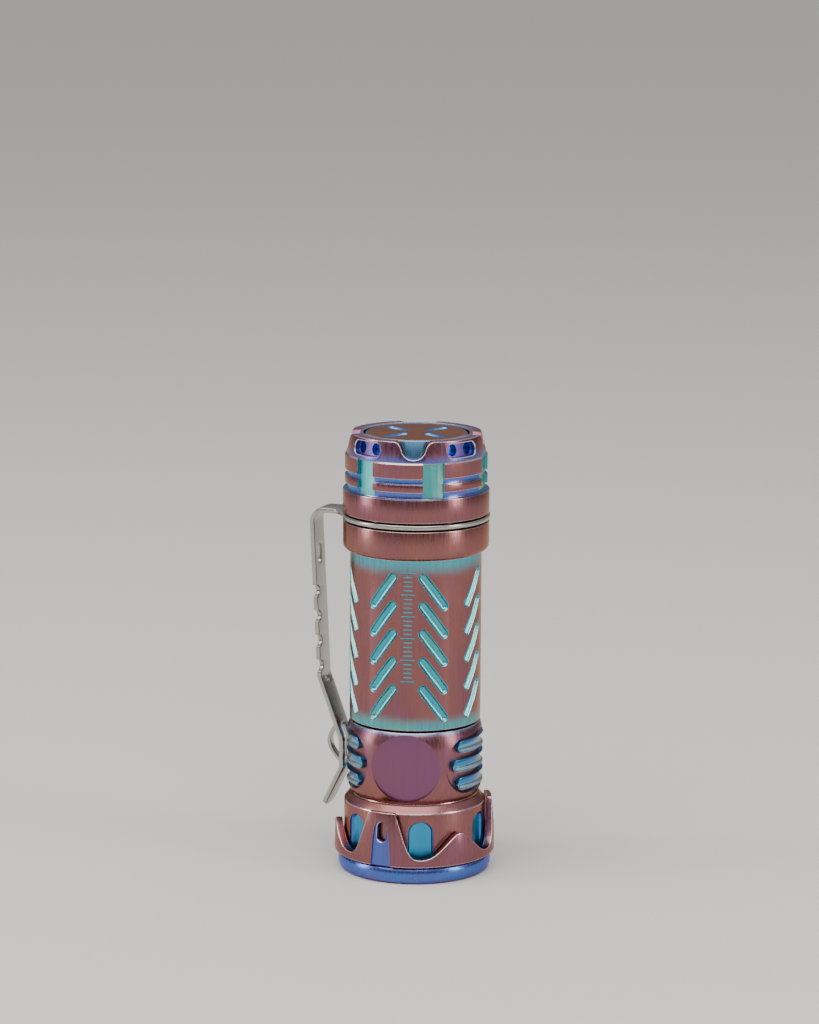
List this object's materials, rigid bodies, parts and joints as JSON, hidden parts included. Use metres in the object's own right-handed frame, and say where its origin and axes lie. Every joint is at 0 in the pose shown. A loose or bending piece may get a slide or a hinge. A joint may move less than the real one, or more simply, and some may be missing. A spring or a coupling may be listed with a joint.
{
  "type": "keychain flashlight",
  "caption": "Pocket torch with a twist head, crowned bezel, grooved tube, finned tail cap and a swivelling spring clip.",
  "frame": {"origin": "on the light's axis at the plane of the bezel rim that it stands on, just in front of the lens", "axes": "+Z along the axis from the lens to the tail, the beam leaves along -Z, and the pocket clip's arm is on the -X side"},
  "size_m": [0.0311, 0.0264, 0.073],
  "materials": {
    "titanium_bezel": "heat-blued titanium, turned",
    "titanium_head": "heat-coloured titanium, mauve with blue ribs",
    "titanium_crown": "heat-coloured titanium, mauve with blue flutes",
    "titanium_tube": "heat-coloured titanium, mauve with teal slots",
    "titanium_tail": "heat-coloured titanium, mauve with blue grooves",
    "titanium_disc": "heat-coloured titanium, brown",
    "clip_steel": "satin",
    "spring_steel": "drawn wire",
    "cell_steel": "nickel plated",
    "contact_brass": "turned",
    "copper_board": "copper circuit board",
    "reflector_mirror": "aluminised",
    "lens_glass": "clear, coated",
    "led_phosphor": "yellow phosphor",
    "circuit_board": "green solder mask",
    "dark_component": "moulded",
    "white_plastic": "moulded",
    "seal_rubber": "greased",
    "red_wire": "wire insulation",
    "black_wire": "wire insulation"
  },
  "bodies": {
    "head": {"head_body": "titanium_head", "crown_skirt": "titanium_crown", "bezel_ring": "titanium_bezel", "lens": "lens_glass", "lens_gasket": "seal_rubber", "reflector": "reflector_mirror", "led_centring_ring": "white_plastic", "led_emitter": "led_phosphor", "led_board": "copper_board", "led_wire_positive": "red_wire", "led_wire_negative": "black_wire", "driver_board": "circuit_board", "driver_inductor": "dark_component", "driver_chip": "dark_component", "driver_lock_ring": "contact_brass", "driver_contact": "contact_brass"},
    "cell": {"battery_cell": "cell_steel", "battery_button": "cell_steel", "battery_insulator": "white_plastic"},
    "tube": {"battery_tube": "titanium_tube", "front_o_ring": "seal_rubber", "rear_o_ring": "seal_rubber"},
    "tail_contact": {"tail_contact_plate": "contact_brass", "tail_spring": "spring_steel"},
    "tail_cap": {"tail_cap": "titanium_tail", "tail_disc": "titanium_disc", "tail_lock_ring": "contact_brass"},
    "clip": {"clip_ring": "clip_steel"},
    "clip_arm": {"clip_arm": "clip_steel"}
  },
  "joints": [
    {"name": "head_thread_travel", "type": "slide", "parent": "head", "child": "cell", "axis": [0, 0, 1], "range_m": [0, 0.0005]},
    {"name": "head_turn", "type": "hinge", "parent": "cell", "child": "tube", "pos_m": [0, 0, 0.0271], "axis": [0, 0, 1], "range_deg": [0, 180]},
    {"name": "tail_cap_travel", "type": "slide", "parent": "tube", "child": "tail_contact", "axis": [0, 0, 1], "range_m": [0, 0.004]},
    {"name": "tail_cap_turn", "type": "hinge", "parent": "tail_contact", "child": "tail_cap", "pos_m": [0, 0, 0.0625], "axis": [0, 0, 1], "range_deg": [0, 1440]},
    {"name": "clip_swivel", "type": "hinge", "parent": "tube", "child": "clip", "pos_m": [0, 0, 0.05925], "axis": [0, 0, 1], "continuous": true},
    {"name": "clip_flex", "type": "hinge", "parent": "clip", "child": "clip_arm", "pos_m": [-0.01515, 0, 0.05925], "axis": [0, 1, 0], "range_deg": [0, 5], "stiffness_Nm_per_rad": 6}
  ],
  "couplings": [
    {"joint": "head_turn", "follows": "head_thread_travel", "rad_per_m": 6283},
    {"joint": "tail_cap_turn", "follows": "tail_cap_travel", "rad_per_m": 6283}
  ]
}
